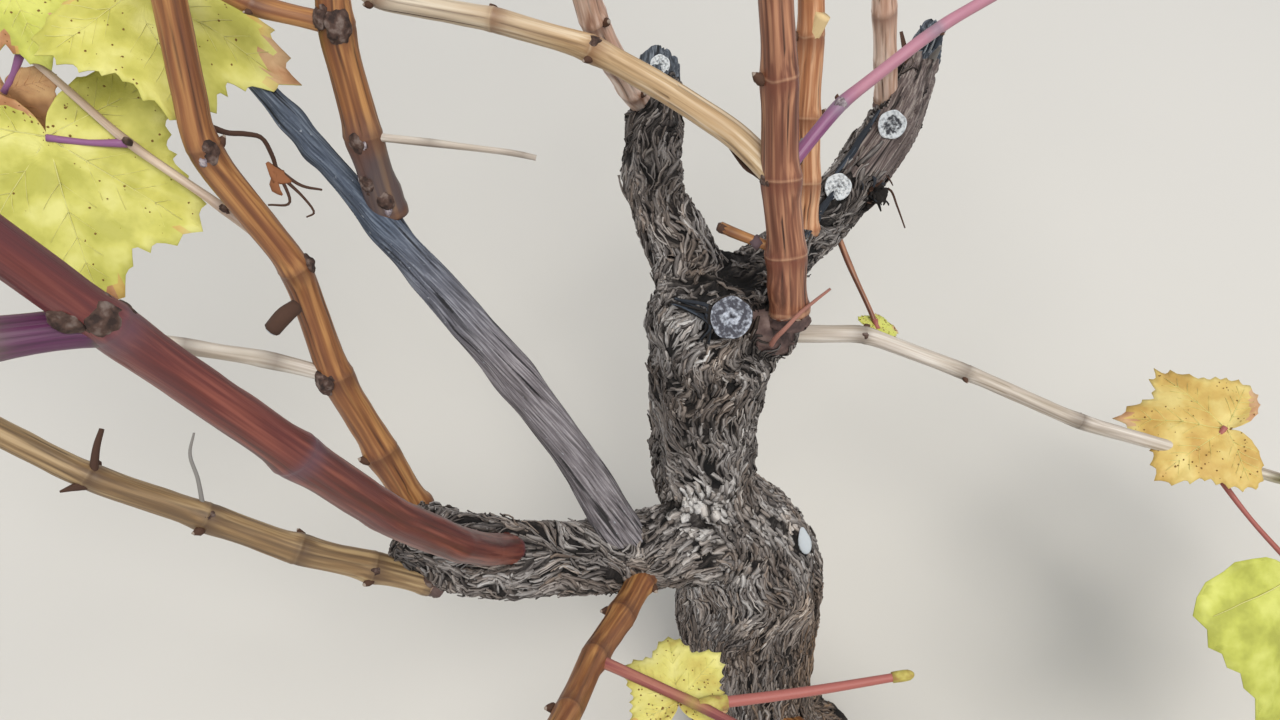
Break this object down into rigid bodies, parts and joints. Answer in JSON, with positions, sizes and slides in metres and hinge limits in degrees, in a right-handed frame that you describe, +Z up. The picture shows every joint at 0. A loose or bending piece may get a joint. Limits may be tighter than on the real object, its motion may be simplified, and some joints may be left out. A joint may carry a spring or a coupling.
{
  "type": "grapevine",
  "caption": "Low bush grapevine in late autumn: a short shaggy trunk with arms, ribbed orange-brown canes, side shoots and the last yellow leaves.",
  "frame": {"origin": "middle of the flat cut under the trunk, at ground level", "axes": "+Z up; +Y away from the picture's camera, the way the trunk leans; +X to that camera's right"},
  "size_m": [0.9707, 0.796, 1.0043],
  "materials": {
    "bark": "shaggy grey-brown fibrous bark, matt",
    "dead_wood": "weathered blue-grey dead wood, matt",
    "ripe_cane": "ribbed orange-brown ripened cane, satin",
    "dark_cane": "dark red-brown cane turning purple, satin",
    "pale_cane": "pale cream-grey cane, matt",
    "green_shoot": "unripe pink and purple shoot, satin",
    "foliage": "yellow-green autumn leaves with rusty edges, on thin canes"
  },
  "bodies": {
    "root": {"trunk": "bark", "arm_back": "bark", "arm_right": "bark", "arm_left": "bark", "spur_dead": "dead_wood", "cane_head": "ripe_cane", "cane_crossing": "ripe_cane", "cane_rear": "ripe_cane", "cane_arm": "ripe_cane", "cane_back": "ripe_cane", "cane_spur": "ripe_cane", "cane_left": "ripe_cane", "cane_near": "dark_cane", "cane_low": "ripe_cane", "cane_pale": "pale_cane", "cane_front": "ripe_cane", "cane_side": "ripe_cane", "shoot_purple": "green_shoot", "shoot_side": "ripe_cane", "shoot_near": "green_shoot", "twig_beige": "pale_cane", "twig_short": "ripe_cane", "twig_grey": "dead_wood", "twig_thin": "foliage", "spray_left": "foliage", "spray_front": "foliage", "cane_head_top": "foliage", "cane_crossing_top": "foliage", "cane_rear_top": "foliage", "cane_arm_top": "foliage", "cane_back_top": "foliage", "cane_spur_top": "foliage", "cane_left_top": "foliage", "cane_near_top": "foliage", "cane_low_top": "foliage", "cane_pale_top": "foliage", "cane_front_top": "foliage", "cane_side_top": "foliage", "shoot_purple_top": "foliage", "shoot_side_top": "foliage", "shoot_near_top": "foliage"}
  },
  "joints": []
}
